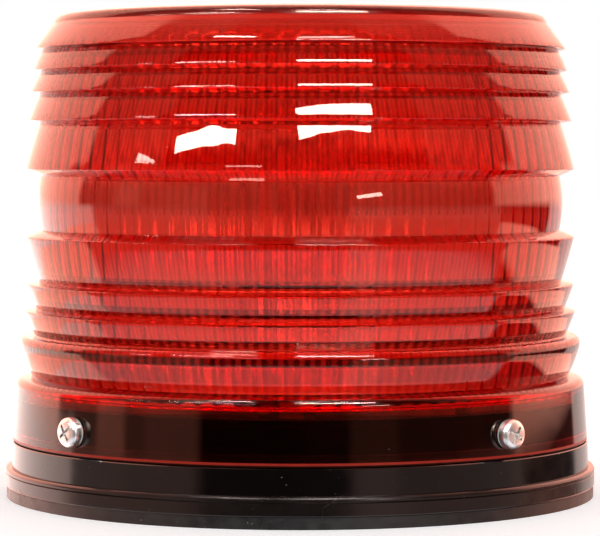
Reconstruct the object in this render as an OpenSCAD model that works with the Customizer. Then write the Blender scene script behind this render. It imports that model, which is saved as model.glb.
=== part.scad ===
// Strobe beacon: a red ring lens over a round black base, with the flash tube and its circuit inside.
// Millimetres. +Z is up, the origin is the centre of the underside, and the front is towards -Y.

/* [Base] */
// Radius of the base flange
flange_r = 75.2; // [70:0.1:80]
// Top of the flange
flange_z = 7.6; // [6:0.1:9]
// Radius of the base body above the flange
body_r = 73.7; // [72:0.1:74]
// Height of the ledge that the lens skirt stops at
ledge_z = 14; // [12:0.5:16]
// Outer radius of the rim inside the lens skirt
rim_r = 70.2; // [69:0.1:70.4]
// Top of the rim
rim_z = 23.6; // [23:0.1:24]
// Inner radius of the base
bay_r = 67; // [66:0.1:68]
// Thickness of the base floor
floor_t = 3; // [2.5:0.1:4]

/* [Mounting] */
// Thickness of the rubber mounting gasket
gasket_t = 2.8; // [2:0.1:4]
// Outer radius of the mounting gasket
gasket_r = 75; // [70:0.1:75]
// Pitch circle diameter of the mounting inserts
mount_pcd = 105; // [95:1:112]
// Bore radius of an M6 mounting insert
mount_bore_r = 2.5; // [2:0.1:3]
// Bore radius of the cable grommet
cable_bore_r = 3.6; // [2.5:0.1:4.5]

/* [Lens] */
// Height of the top of the lens
lens_z = 122.6; // [118:0.1:126]
// Radius of the skirt at its lower edge
skirt_r = 73.35; // [73:0.05:73.5]
// Inner radius of the skirt
skirt_in_r = 70.5; // [70.4:0.05:70.8]
// Thickness of the top of the lens
cap_t = 3.4; // [2.5:0.1:4]
// Largest radius of the plain band in the middle
band_r = 66.9; // [66.5:0.1:67.5]

/* [Lens screws] */
// Height of the screw axes
screw_z = 20.2; // [19:0.1:21]
// Radius of the pan head
head_r = 3.65; // [3.3:0.05:4]
// Height of the pan head
head_h = 2.5; // [2:0.1:3]
// Radius of the M4 shank
shank_r = 1.95; // [1.9:0.01:1.96]
// Length of the shank
shank_len = 9.6; // [8:0.1:10]

/* [Flash tube] */
// Height of the middle of the flash tube
tube_z = 74.4; // [72:0.1:77]
// Mean radius of the helix
helix_r = 9.5; // [8:0.1:10]
// Radius of the glass tube
tube_r = 2.3; // [2:0.1:2.6]
// Rise of one turn
helix_pitch = 6.2; // [5.6:0.1:7]
// Number of whole turns
helix_turns = 4; // [3:1:5]
// Outer radius of the glass dome
dome_r = 16; // [15:0.1:18]
// Top of the glass dome
dome_z = 98; // [94:0.5:104]

/* [Circuit] */
// Radius of the circuit board
board_r = 61.8; // [58:0.1:62]
// Underside of the circuit board
board_z = 14; // [13.6:0.1:15]
// Thickness of the circuit board
board_t = 1.6; // [1.2:0.1:2]
// Underside of the reflector plate
plate_z = 38; // [38:0.1:40]
// Radius of the lower edge of the reflector plate
plate_r = 61.4; // [60:0.1:62]

/* [Hidden] */
$fn = 96;

// Colours
BLACK = [0.05, 0.045, 0.045];
RUBBER = [0.09, 0.085, 0.085];
RED = [0.8, 0.04, 0.04, 0.55];
STEEL = [0.75, 0.75, 0.74];
BRASS = [0.78, 0.6, 0.28];
NYLON = [0.88, 0.87, 0.82];
BOARD = [0.07, 0.3, 0.16];
FERRITE = [0.16, 0.16, 0.17];
TAPE = [0.85, 0.66, 0.16];
CAN = [0.1, 0.13, 0.3];
ALU = [0.7, 0.71, 0.73];
WHITE = [0.86, 0.86, 0.84];
GLASS = [0.85, 0.9, 0.92, 0.4];

// Small gap between pieces that sit against each other
gap = 0.05;
floor_z = gasket_t;
bay_z = floor_z + floor_t;
board_top = board_z + board_t;
plate_t = 1;
plate_top = plate_z + plate_t;
// Radius of the flat of the reflector plate, height of its lower edge, and its sloping wall measured level
plate_flat_r = 55.7;
plate_low = 28.6;
plate_wall = 1.15;

// Directions of the four lens screws, of the mounting inserts and of the standoffs, from +X
screw_dirs = [-135, -45, 45, 135];
mount_dirs = [90, 210, 330];
post_dirs = [30, 150, 270];
post_ring_r = 45.5;
board_screw_x = 56;
// Small screws inside: shank radius, head radius and height, tapped bore, clearance hole
small_r = 1.25;
small_head = [2.8, 1.8];
small_bore_r = 1.3;
small_clear_r = 1.6;

// Ring tips of the lens from the top down: radius and height of each sharp edge
upper_tips = [[67.6, 113.25], [68, 107.8], [68.6, 102.25], [69.1, 95.05], [69.85, 82.9]];
lower_tips = [[69.95, 65.85], [69.85, 53.9], [70.3, 47.1]];
// Radius at the foot of each ring's sloping face, in the same order
upper_feet = [62.8, 65.8, 66.2, 66.4, 66.45];
lower_feet = [66.7, 67.5, 67.95];
// Height of the flat step under or over a tip
step_z = 0.6;
// The rounded ring above the skirt
round_tip = [71.45, 38.3];
round_foot = [68.5, 30.8];
round_tip_z = 40.9;
skirt_top_r = 72.5;
skirt_top_z = 28.3;
lens_bottom = ledge_z + 0.2;

// Points of an arc in the plane of an outline
function arc(c, r, a0, a1, n) =
    [for (i = [0 : n]) let (a = a0 + (a1 - a0) * i / n) [c[0] + r * cos(a), c[1] + r * sin(a)]];

// Points of a cubic curve through four handles, in two or three dimensions
function curve(a, b, c, d, n) = [
    for (i = [0 : n])
        let (t = i / n, s = 1 - t)
        s * s * s * a + 3 * s * s * t * b + 3 * s * t * t * c + t * t * t * d
];

function unit(v) = v / norm(v);

// A round tube swept along a path, with a reference direction that the path never follows
module tube(path, r, sides, up) {
    last = len(path) - 1;
    points = [
        for (i = [0 : last])
            let (t = unit(path[min(i + 1, last)] - path[max(i - 1, 0)]))
            let (u = unit(cross(t, up)), v = cross(u, t))
            for (k = [0 : sides - 1])
                path[i] + r * (cos(360 * k / sides) * u + sin(360 * k / sides) * v)
    ];
    walls = [
        for (i = [0 : last - 1], k = [0 : sides - 1])
            let (a = i * sides + k, b = i * sides + (k + 1) % sides)
            each [[a, a + sides, b], [b, a + sides, b + sides]]
    ];
    starts = [for (k = [1 : sides - 2]) [0, k, k + 1]];
    top = last * sides;
    ends = [for (k = [1 : sides - 2]) [top, top + k + 1, top + k]];
    polyhedron(points = points, faces = concat(walls, starts, ends), convexity = 6);
}

// A cylinder that runs outwards along a direction in the XY plane
module radial(dir, from, z, h, r) {
    rotate([0, 0, dir])
        translate([from, 0, z])
            rotate([0, 90, 0])
                cylinder(h = h, r = r);
}

// A ring with a square section
module ring(z, h, outer, inner) {
    translate([0, 0, z])
        difference() {
            cylinder(h = h, r = outer);
            translate([0, 0, -1])
                cylinder(h = h + 2, r = inner);
        }
}

// Places children on a circle
module around(dirs, r) {
    for (dir = dirs)
        rotate([0, 0, dir])
            translate([r, 0, 0])
                children();
}

// A block centred in X and Y that stands on z
module block(at, size) {
    translate([at[0] - size[0] / 2, at[1] - size[1] / 2, at[2]])
        cube(size);
}

// Base pieces

// Rib behind each lens screw, and the brass insert in it
rib_w = 8.4;
rib_in_r = 62.6;
insert_r = 2.9;
insert_in_r = 63.2;
insert_len = 6.6;
// Boss over each mounting insert
mount_boss_r = 6;
mount_boss_top = 13;
mount_insert_r = 3.4;
mount_insert_h = 8.2;
mount_clear_r = 3.3;
// Posts that the board and the standoffs screw into
post_r = 3.6;
post_bore_h = 7;
// Ring channel that thins the wall from below
channel = [69.2, 71.6];
channel_top = 11.2;
// Line moulded round the flange
line_z = 6.2;
line_depth = 0.25;
grommet_neck_r = 5.6;
grommet_r = 7.2;
grommet_low = 0.6;
grommet_top = bay_z + 2.6;
vent_at = [30, 0];
vent_r = 2.5;
vent_head_r = 4.4;

function base_outline() = concat(
    [[0, floor_z], [channel[0], floor_z], [channel[0], channel_top]],
    [[channel[1], channel_top], [channel[1], floor_z]],
    arc([flange_r - 0.4, floor_z + 0.4], 0.4, -90, 0, 3),
    [[flange_r, line_z - 0.2], [flange_r - line_depth, line_z], [flange_r, line_z + 0.2]],
    arc([flange_r - 0.8, flange_z - 0.8], 0.8, 0, 90, 4),
    [[body_r, flange_z], [body_r - 0.25, ledge_z - 0.2], [body_r - 0.45, ledge_z]],
    [[rim_r, ledge_z], [rim_r, rim_z - 0.4], [rim_r - 0.4, rim_z]],
    [[bay_r, rim_z], [bay_r, bay_z], [0, bay_z]]
);

// The five places where a screw goes down through the board
module at_board_screws() {
    around(post_dirs, post_ring_r)
        children();
    around([0, 180], board_screw_x)
        children();
}

module base_housing() {
    color(BLACK)
        difference() {
            union() {
                rotate_extrude()
                    polygon(base_outline());
                around(mount_dirs, mount_pcd / 2)
                    translate([0, 0, bay_z - 1])
                        cylinder(h = mount_boss_top - bay_z + 1, r = mount_boss_r);
                at_board_screws()
                    translate([0, 0, bay_z - 1])
                        cylinder(h = board_z - bay_z + 1, r = post_r);
                around(screw_dirs, rib_in_r)
                    translate([0, -rib_w / 2, bay_z - 1])
                        cube([bay_r + 1 - rib_in_r, rib_w, rim_z - bay_z + 1]);
            }
            around(mount_dirs, mount_pcd / 2)
                translate([0, 0, floor_z - 1])
                    cylinder(h = mount_insert_h + 1.3, r = mount_insert_r);
            at_board_screws()
                translate([0, 0, board_z - post_bore_h])
                    cylinder(h = post_bore_h + 1, r = small_bore_r);
            for (dir = screw_dirs)
                radial(dir, insert_in_r, screw_z, rim_r + 1 - insert_in_r, insert_r);
            translate([0, 0, floor_z - 1])
                cylinder(h = floor_t + 2, r = grommet_neck_r);
            translate([vent_at[0], vent_at[1], floor_z - 1])
                cylinder(h = floor_t + 2, r = vent_r);
        }
}

module mounting_gasket() {
    color(RUBBER)
        difference() {
            ring(0, gasket_t, gasket_r, grommet_r + 0.2);
            around(mount_dirs, mount_pcd / 2)
                translate([0, 0, -1])
                    cylinder(h = gasket_t + 2, r = mount_clear_r);
            translate([vent_at[0], vent_at[1], -1])
                cylinder(h = gasket_t + 2, r = vent_head_r + 0.4);
        }
}

module mount_inserts() {
    color(BRASS)
        around(mount_dirs, mount_pcd / 2)
            ring(floor_z, mount_insert_h, mount_insert_r, mount_bore_r);
}

module cable_grommet() {
    color(RUBBER)
        rotate_extrude()
            polygon([
                [cable_bore_r, grommet_low], [grommet_r - 0.6, grommet_low], [grommet_r, grommet_low + 0.6],
                [grommet_r, floor_z], [grommet_neck_r, floor_z], [grommet_neck_r, bay_z], [grommet_r, bay_z],
                [grommet_r - 0.8, grommet_top], [cable_bore_r, grommet_top]
            ]);
}

module vent_plug() {
    color(RUBBER)
        translate([vent_at[0], vent_at[1], 0])
            rotate_extrude()
                polygon([
                    [0, 1.2], [vent_head_r - 0.6, 1.2], [vent_head_r, 1.8], [vent_head_r, floor_z],
                    [vent_r, floor_z], [vent_r, bay_z], [vent_r + 0.5, bay_z], [vent_r, bay_z + 1.2],
                    [0, bay_z + 1.2]
                ]);
}

// Lens pieces

// The band bulges on an arc from its two edges to its middle
band_low = lower_tips[0][1] + step_z;
band_high = upper_tips[4][1] - step_z;
band_edge_r = 65.9;
band_rise = band_r - band_edge_r;
band_half = (band_high - band_low) / 2;
band_arc_r = (band_half * band_half + band_rise * band_rise) / (2 * band_rise);
band_arc_a = asin(band_half / band_arc_r);
// Shoulder between the top and the first ring
shoulder_r = 2.4;
shoulder_at = [60.4, lens_z - 3.2];
ceiling_r = 57;
ceiling_z = lens_z - cap_t;
ceiling_round = 6;
// Radius of the inner wall at each height, and the bead that presses on the lens gasket
wall = [[63.4, 108], [63.4, 68], [65.2, 42], [66, 28.4], [66.4, 27.6]];
bead = [67.3, 69.2];
bead_low = 25;
bead_foot = 27.4;
screw_clear_r = 2.3;

// Height where each ring's sloping face ends
lower_ends = [for (i = [0 : 2]) (i == 2 ? round_tip_z - 0.3 : lower_tips[i + 1][1]) + step_z];
upper_ends = [for (i = [0 : 4]) i == 0 ? shoulder_at[1] + 0.2 : upper_tips[i - 1][1] - step_z];

function lens_outer() = concat(
    [[skirt_in_r, lens_bottom], [skirt_r - 0.3, lens_bottom], [skirt_r, lens_bottom + 0.4]],
    arc([skirt_top_r - 2, skirt_top_z], 2, 0, 80, 5),
    [round_foot],
    curve([68.9, 31.3], [70.3, 34], [71.4, 36.4], round_tip, 5),
    curve(round_tip, [71.45, 39.6], [71.2, 40.4], [70.5, 40.7], 3),
    [[68.1, round_tip_z]],
    [for (i = [2 : -1 : 0]) each [[lower_feet[i], lower_ends[i]], lower_tips[i]]],
    arc([band_r - band_arc_r, (band_low + band_high) / 2], band_arc_r, -band_arc_a, band_arc_a, 10),
    [for (i = [4 : -1 : 0]) each [upper_tips[i], [upper_feet[i], upper_ends[i]]]],
    arc(shoulder_at, shoulder_r, 10, 70, 4),
    [[ceiling_r, lens_z - 0.35], [30, lens_z - 0.1], [0, lens_z]]
);

function lens_inner() = concat(
    [[0, ceiling_z], [ceiling_r, ceiling_z]],
    arc([ceiling_r, ceiling_z - ceiling_round], ceiling_round, 75, 10, 4),
    wall,
    [[bead[0], bead_foot], [bead[0], bead_low], [bead[1], bead_low], [bead[1], bead_foot]],
    [[skirt_in_r, bead_foot - 0.4]]
);

module lens() {
    color(RED)
        difference() {
            rotate_extrude()
                polygon(concat(lens_outer(), lens_inner()));
            for (dir = screw_dirs)
                radial(dir, rim_r, screw_z, 8, screw_clear_r);
        }
}

module lens_gasket() {
    color(RUBBER)
        ring(rim_z + gap, bead_low - rim_z - 2 * gap, rim_r - 0.6, bay_r + 0.1);
}

// Lens screws and what they pass through

washer_t = 0.6;
washer_r = 3.4;
washer_in = skirt_r - 0.15;
washer_out = washer_in + washer_t;
head_in = washer_out + gap;
// Running clearance of a screw or a pin in its bore
run = 0.07;

module screw_inserts() {
    color(BRASS)
        for (dir = screw_dirs)
            difference() {
                radial(dir, insert_in_r, screw_z, insert_len, insert_r);
                radial(dir, insert_in_r - 1, screw_z, insert_len + 2, shank_r + run);
            }
}

// A pan head screw that points down from z = 0, with a cross recess in its head
module pan_screw(len, r, hr, hh) {
    difference() {
        rotate_extrude()
            polygon(concat(
                [[0, -len], [r - 0.4, -len], [r, 0.4 - len], [r, 0], [hr, 0]],
                curve([hr, hh * 0.35], [hr, hh * 0.8], [hr * 0.75, hh], [hr * 0.35, hh], 6),
                [[0, hh]]
            ));
        for (a = [0, 90])
            rotate([0, 0, a])
                translate([-hr * 0.62, -hr * 0.11, hh * 0.42])
                    cube([hr * 1.24, hr * 0.22, hh]);
    }
}

// Turn of each cross recess, as the screws happened to stop
recess_turns = [35, 55, 75, 95];

module lens_screw(i) {
    color(STEEL)
        rotate([0, 0, screw_dirs[i]])
            translate([head_in, 0, screw_z])
                rotate([0, 90, 0])
                    rotate([0, 0, recess_turns[i]])
                        pan_screw(shank_len, shank_r, head_r, head_h);
}

module screw_washer(i) {
    color(NYLON)
        difference() {
            radial(screw_dirs[i], washer_in, screw_z, washer_t, washer_r);
            radial(screw_dirs[i], washer_in - 1, screw_z, washer_t + 2, shank_r + run);
        }
}

// Circuit pieces

cable_hole_at = [-26, 30];
cable_hole_r = 6;
// Foot of the legs that are soldered through the board
leg_z = board_z - 0.8;
coil_at = [34, 2];
thyristor_at = [22, 6];
chip_at = [36, 38];
sink_at = [-46, 4];
sink_size = [12, 26, 19];
transformer_at = [0, 34];
transformer_h = 20;

module circuit_board() {
    color(BOARD)
        difference() {
            translate([0, 0, board_z])
                cylinder(h = board_t, r = board_r);
            at_board_screws()
                translate([0, 0, board_z - 1])
                    cylinder(h = board_t + 2, r = small_clear_r);
            translate([cable_hole_at[0], cable_hole_at[1], board_z - 1])
                cylinder(h = board_t + 2, r = cable_hole_r);
        }
}

module board_screws() {
    color(STEEL)
        around([0, 180], board_screw_x)
            translate([0, 0, board_top])
                pan_screw(7, small_r, small_head[0], small_head[1]);
}

module transformer_core() {
    color(FERRITE)
        translate([transformer_at[0], transformer_at[1], board_top])
            difference() {
                block([0, 0, 0], [30, 10, transformer_h]);
                for (s = [-1, 1])
                    block([s * 8.25, 0, 4], [7.5, 12, transformer_h - 8]);
            }
}

module transformer_bobbin() {
    inner = [9.2, 10.2];
    color([0.12, 0.12, 0.12])
        translate([transformer_at[0], transformer_at[1], board_top])
            difference() {
                union() {
                    block([0, 0, 4.1], [11.4, 12.4, transformer_h - 8.2]);
                    block([0, 0, 4.1], [23.4, 23, 1.1]);
                    block([0, 0, transformer_h - 5.2], [23.4, 23, 1.1]);
                    for (s = [-1, 1])
                        block([0, s * 9.6, 0], [22, 3.6, 4.2]);
                }
                block([0, 0, -1], [inner[0], inner[1], transformer_h + 2]);
            }
}

module transformer_winding() {
    color(TAPE)
        translate([transformer_at[0], transformer_at[1], board_top + 5.25])
            difference() {
                hull()
                    for (x = [-8.8, 8.8], y = [-8.6, 8.6])
                        translate([x, y, 0])
                            cylinder(h = transformer_h - 10.5, r = 2, $fn = 32);
                block([0, 0, -1], [11.5, 12.5, transformer_h]);
            }
}

module storage_capacitor(i) {
    color(CAN)
        translate([(i == 0 ? -1 : 1) * 5, -27, board_top + 9.1])
            rotate([0, (i == 0 ? -90 : 90), 0])
                rotate_extrude()
                    polygon(concat(
                        [[0, 0.8], [7, 0.8], [7.4, 0]],
                        arc([8, 1], 1, -90, 0, 3),
                        [[9, 3.4], [8.4, 4], [9, 4.6]],
                        arc([8, 33], 1, 0, 90, 3),
                        [[0, 34]]
                    ));
}

module heat_sink() {
    color(ALU)
        translate([sink_at[0] - sink_size[0] / 2, sink_at[1] - sink_size[1] / 2, board_top])
            difference() {
                cube(sink_size);
                for (y = [3 : 4 : 23])
                    translate([-1, y, -1])
                        cube([sink_size[0] - 2, 2, sink_size[2] + 2]);
                translate([0, sink_size[1] / 2, tab_hole_z - board_top])
                    rotate([0, 90, 0])
                        cylinder(h = sink_size[0] + 1, r = small_bore_r);
            }
}

// The transistor stands against the sink: a metal tab, a moulded body and three legs
transistor_x = sink_at[0] + sink_size[0] / 2 + gap;
tab_t = 1.3;
tab_z = board_top + 2.4;
tab_h = 14.8;
tab_hole_z = board_top + 14;
leg_pitch = 2.54;

module power_transistor() {
    color(BLACK)
        difference() {
            union() {
                block([transistor_x + tab_t + 1.6, sink_at[1], tab_z], [3.2, 10, 8.6]);
                block([transistor_x + tab_t / 2, sink_at[1], tab_z], [tab_t, 10, tab_h]);
                for (y = [-leg_pitch, 0, leg_pitch])
                    block([transistor_x + 2.7, sink_at[1] + y, leg_z], [0.6, 0.9, tab_z - leg_z + 0.6]);
            }
            translate([transistor_x - 1, sink_at[1], tab_hole_z])
                rotate([0, 90, 0])
                    cylinder(h = tab_t + 2, r = small_clear_r);
        }
}

module transistor_screw() {
    color(STEEL)
        translate([transistor_x + tab_t + gap, sink_at[1], tab_hole_z])
            rotate([0, 90, 0])
                pan_screw(7, small_r, small_head[0], small_head[1]);
}

// A lacquered winding between two flanges on a ferrite stub
module trigger_coil() {
    flange = 6.6;
    wound = 5.9;
    color([0.55, 0.2, 0.08])
        translate([coil_at[0], coil_at[1], board_top])
            rotate_extrude()
                polygon([
                    [0, 0], [flange, 0], [flange, 1.4], [wound - 0.3, 1.6], [wound, 2.4], [wound, 13],
                    [wound - 0.3, 13.8], [flange, 14], [flange, 15], [2, 15], [2, 16.4], [0, 16.4]
                ]);
}

// A boxed capacitor with its upright edges rounded, on two leads
module box_capacitor(at, size, r) {
    translate([at[0], at[1], board_top + 0.3])
        linear_extrude(height = size[2])
            polygon([
                for (q = [[1, 1, 0], [-1, 1, 90], [-1, -1, 180], [1, -1, 270]])
                    each arc([q[0] * (size[0] / 2 - r), q[1] * (size[1] / 2 - r)], r, q[2], q[2] + 90, 4)
            ]);
    for (y = [-1, 1] * (size[1] / 2 - 1.5))
        translate([at[0], at[1] + y, leg_z])
            cylinder(h = board_top + 1 - leg_z, r = 0.35);
}

module trigger_capacitor() {
    color([0.75, 0.3, 0.1])
        box_capacitor([46, -12], [6, 14, 11], 1.2);
}

// A small moulded case with a flat front, on three legs
module trigger_thyristor() {
    color(BLACK)
        translate([thyristor_at[0], thyristor_at[1], 0]) {
            difference() {
                translate([0, 0, board_top + 3])
                    cylinder(h = 4.8, r = 2.4);
                block([0, 2.6, board_top + 2], [6, 2, 7]);
            }
            for (x = [-leg_pitch / 2, 0, leg_pitch / 2])
                block([x, 0, leg_z], [0.45, 0.45, board_top + 3.2 - leg_z]);
        }
}

// A moulded body with four legs on each side
module timer_chip() {
    color(BLACK)
        translate([chip_at[0], chip_at[1], 0]) {
            block([0, 0, board_top + 1], [9.6, 6.4, 3.3]);
            for (i = [-1.5 : 1 : 1.5], s = [-1, 1])
                translate([i * leg_pitch, 0, 0]) {
                    block([0, s * 3.6, leg_z], [0.6, 0.3, board_top + 2.3 - leg_z]);
                    block([0, s * 3.3, board_top + 2], [0.6, 0.9, 0.3]);
                }
        }
}

// Children as they are, or turned round to face -X
module facing(s) {
    rotate([0, 0, s > 0 ? 0 : 180])
        children();
}

// An axial part lying along X, with its leads bent down into the board
module axial(at, body_len, r, span) {
    lift = r + 0.3;
    lead_r = 0.35;
    bend = 1.2;
    foot = board_top + lift - leg_z;
    translate([at[0], at[1], board_top + lift])
        rotate([0, 0, at[2]]) {
            rotate([0, 90, 0])
                cylinder(h = body_len, r = r, center = true);
            for (s = [-1, 1])
                facing(s) {
                    translate([body_len / 2 - 0.2, 0, 0])
                        rotate([0, 90, 0])
                            cylinder(h = span / 2 - bend - body_len / 2 + 0.2, r = lead_r);
                    translate([span / 2 - bend, 0, -bend])
                        rotate([90, 0, 0])
                            rotate_extrude(angle = 90)
                                translate([bend, 0])
                                    circle(r = lead_r, $fn = 24);
                    translate([span / 2, 0, -foot])
                        cylinder(h = foot - bend, r = lead_r);
                }
        }
}

// Place and turn of each part on the board
resistor_spots = [[24, 20, 90], [30, 20, 90], [-21, 2, 0], [-21, -6, 0], [44, -36, 40], [2, 8, 0]];
diode_spots = [[-24, 12, 90], [14, -8, 0], [-6, -7, 90], [-8, 12, 90]];
film_spots = [[-46, -16], [50, -26], [18, 46]];

module resistors() {
    color([0.72, 0.6, 0.42])
        for (at = resistor_spots)
            axial(at, 6.5, 1.2, 11);
}

module diodes() {
    color(BLACK)
        for (at = diode_spots)
            axial(at, 5, 1.35, 10);
}

module film_capacitors() {
    color([0.1, 0.25, 0.55])
        for (at = film_spots)
            box_capacitor(at, [4.5, 8, 8], 1);
}

terminal_at = [-30, 43];
terminal_xs = [-5, 0, 5];

module terminal_block() {
    color([0.1, 0.35, 0.2])
        translate([terminal_at[0], terminal_at[1], board_top])
            difference() {
                block([0, 0, 0], [15.2, 8, 10]);
                for (x = terminal_xs) {
                    translate([x, 0, 6.5])
                        cylinder(h = 4, r = 1.9);
                    block([x, -3, 1.6], [3.6, 4, 3.6]);
                }
            }
}

module terminal_screws() {
    color(STEEL)
        translate([terminal_at[0], terminal_at[1], board_top])
            for (x = terminal_xs)
                translate([x, 0, 6.6])
                    difference() {
                        cylinder(h = 2.4, r = 1.75);
                        block([0, 0, 1.6], [4, 0.6, 2]);
                    }
}

// A glass fuse, 5 by 20, that lies along Y with a metal cap at each end
fuse_at = [52, 13];
fuse_z = board_top + 4.6;
fuse_cap_r = 2.6;
fuse_cap_y = 7.4;

// A cylinder along Y, centred on its length
module along_y(len, r) {
    rotate([90, 0, 0])
        cylinder(h = len, r = r, center = true);
}

module fuse() {
    color(GLASS)
        translate([fuse_at[0], fuse_at[1], fuse_z]) {
            along_y(19, fuse_cap_r - 0.25);
            for (y = [-fuse_cap_y, fuse_cap_y])
                translate([0, y, 0])
                    along_y(5.2, fuse_cap_r);
        }
}

module fuse_clips() {
    color(BRASS)
        for (y = [-fuse_cap_y, fuse_cap_y])
            translate([fuse_at[0], fuse_at[1] + y, fuse_z])
                difference() {
                    union() {
                        along_y(4, fuse_cap_r + 0.5);
                        block([0, 0, board_top - fuse_z], [3.4, 4, 2.4]);
                    }
                    along_y(6, fuse_cap_r + 0.02);
                    block([0, 0, 1.2], [8, 6, 4]);
                }
}

// Reflector and socket pieces

socket_r = 15;
socket_flange_r = 21;
socket_low = 31;
socket_top = 45.7;
socket_screw_x = 18;
contact_ring_r = 8;
contact_dirs = [0, 90, 180, 270];
contact_r = 2;
contact_low = 33;
contact_tail = 29;
pin_r = 1.2;
pin_low = 37.5;

module plate_standoffs() {
    color(BRASS)
        around(post_dirs, post_ring_r)
            difference() {
                union() {
                    translate([0, 0, board_top])
                        cylinder(h = plate_z - board_top, r = 3.2, $fn = 6);
                    translate([0, 0, board_top - 7])
                        cylinder(h = 8, r = small_r);
                }
                translate([0, 0, plate_z - 8])
                    cylinder(h = 9, r = small_bore_r);
            }
}

module reflector_plate() {
    color(WHITE)
        difference() {
            rotate_extrude()
                polygon([
                    [socket_r + 0.4, plate_z], [plate_flat_r - plate_wall / 2, plate_z],
                    [plate_r - plate_wall, plate_low], [plate_r, plate_low],
                    [plate_flat_r, plate_top], [socket_r + 0.4, plate_top]
                ]);
            around(post_dirs, post_ring_r)
                translate([0, 0, plate_z - 1])
                    cylinder(h = plate_t + 2, r = small_clear_r);
            around([0, 180], socket_screw_x)
                translate([0, 0, plate_z - 1])
                    cylinder(h = plate_t + 2, r = small_clear_r);
        }
}

module plate_screws() {
    color(STEEL)
        around(post_dirs, post_ring_r)
            translate([0, 0, plate_top])
                pan_screw(7, small_r, small_head[0], small_head[1]);
}

module tube_socket() {
    color(BLACK)
        difference() {
            rotate_extrude()
                polygon([
                    [0, socket_low], [socket_r - 1, socket_low], [socket_r, socket_low + 1],
                    [socket_r, plate_top], [socket_flange_r, plate_top], [socket_flange_r, plate_top + 2],
                    [socket_r + 0.2, plate_top + 2], [socket_r + 0.2, socket_top - 0.5],
                    [socket_r - 0.3, socket_top], [0, socket_top]
                ]);
            around(contact_dirs, contact_ring_r)
                translate([0, 0, socket_low - 1])
                    cylinder(h = socket_top - socket_low + 2, r = contact_r);
            around([0, 180], socket_screw_x)
                translate([0, 0, plate_z])
                    cylinder(h = 6, r = small_clear_r);
        }
}

module socket_contacts() {
    color(BRASS)
        around(contact_dirs, contact_ring_r)
            difference() {
                union() {
                    translate([0, 0, contact_low])
                        cylinder(h = socket_top - 0.7 - contact_low, r = contact_r);
                    translate([0, 0, contact_tail])
                        cylinder(h = contact_low + 1 - contact_tail, r = 0.7);
                }
                translate([0, 0, contact_low + 2])
                    cylinder(h = socket_top - contact_low, r = pin_r + run);
            }
}

// Two screws with a hexagonal nut each under the plate
module socket_screws() {
    color(STEEL)
        around([0, 180], socket_screw_x) {
            translate([0, 0, plate_top + 2])
                pan_screw(5, small_r, 2.6, 1.6);
            translate([0, 0, plate_z - 1.2])
                cylinder(h = 1.1, r = 2.8, $fn = 6);
        }
}

// Foot of each lead, further out than its contact
lead_out = contact_ring_r + 5.5;

// One lead from the foot of a contact down to the board, in a slight bow
function lead_path() = curve(
    [contact_ring_r, 0, contact_tail + 1.2],
    [contact_ring_r, 0, 25],
    [lead_out, 0, 22],
    [lead_out, 0, leg_z],
    12
);

module socket_leads() {
    color([0.75, 0.1, 0.1])
        for (dir = contact_dirs)
            rotate([0, 0, dir])
                difference() {
                    tube(lead_path(), 1, 8, [0, 1, 0]);
                    translate([contact_ring_r, 0, contact_tail - 1])
                        cylinder(h = 5, r = 0.75);
                }
}

// Flash tube pieces

plug_z = socket_top + 0.3;
plug_top = 53;
plug_step = 51.6;
cap_h = 2.6;
tube_low = plug_top + cap_h - 0.6;
dome_wall = 1.1;
wire_r = 0.35;
helix_low = tube_z - helix_pitch * helix_turns / 2;
helix_high = tube_z + helix_pitch * helix_turns / 2;
// Bend between the straight leg and the first turn, laid out on the unrolled helix
bend_r = 4;
bend_turn = 180 * bend_r / (PI * helix_r);
steps = 20;

function on_helix(angle, z) = [helix_r * cos(angle), helix_r * sin(angle), z];

// Up from the outer end cap and into the first turn
leg_in = [
    for (i = [0 : 5])
        let (a = 84 * i / 5)
        on_helix(bend_turn * (1 - cos(a)), helix_low - bend_r + bend_r * sin(a))
];
turns = [
    for (i = [1 : steps * helix_turns])
        on_helix(bend_turn + 360 * i / steps, helix_low + helix_pitch * i / steps)
];
// Over from the last turn to the middle, and down
over = curve(
    on_helix(bend_turn, helix_high),
    on_helix(bend_turn, helix_high + 1) + 8 * [-sin(bend_turn), cos(bend_turn), 0],
    [0, 0, helix_high + 6],
    [0, 0, helix_high - 6],
    8
);
tube_path = concat(
    [[helix_r, 0, tube_low]], leg_in, turns, [for (i = [1 : 8]) over[i]], [[0, 0, tube_low]]
);

// Least clear distance between stretches of the tube that lie more than half a turn apart
least_gap = min([
    for (i = [0 : len(tube_path) - 1], j = [i + steps / 2 : 1 : len(tube_path) - 1])
        norm(tube_path[i] - tube_path[j]) - 2 * tube_r
]);
echo(least_gap = least_gap);

module tube_plug() {
    color(BLACK)
        difference() {
            rotate_extrude()
                polygon([
                    [0, plug_z], [dome_r, plug_z], [dome_r + 0.4, plug_z + 0.5], [dome_r + 0.4, plug_step],
                    [dome_r - dome_wall - gap, plug_step], [dome_r - dome_wall - gap, plug_top],
                    [0, plug_top]
                ]);
            around(contact_dirs, contact_ring_r)
                translate([0, 0, plug_z - 1])
                    cylinder(h = 4, r = pin_r);
        }
}

module plug_pins() {
    color(BRASS)
        around(contact_dirs, contact_ring_r)
            rotate_extrude()
                polygon([
                    [0, pin_low], [pin_r - 0.5, pin_low], [pin_r, pin_low + 0.8],
                    [pin_r, plug_z + 3], [0, plug_z + 3]
                ]);
}

module flash_tube() {
    color(GLASS)
        tube(tube_path, tube_r, 8, [0.02, 0.01, 1]);
}

module tube_end_caps() {
    color(STEEL)
        for (x = [0, helix_r])
            translate([x, 0, plug_top])
                difference() {
                    cylinder(h = cap_h, r = tube_r + 0.35);
                    translate([0, 0, cap_h - 0.7])
                        cylinder(h = cap_h, r = tube_r);
                }
}

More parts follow.
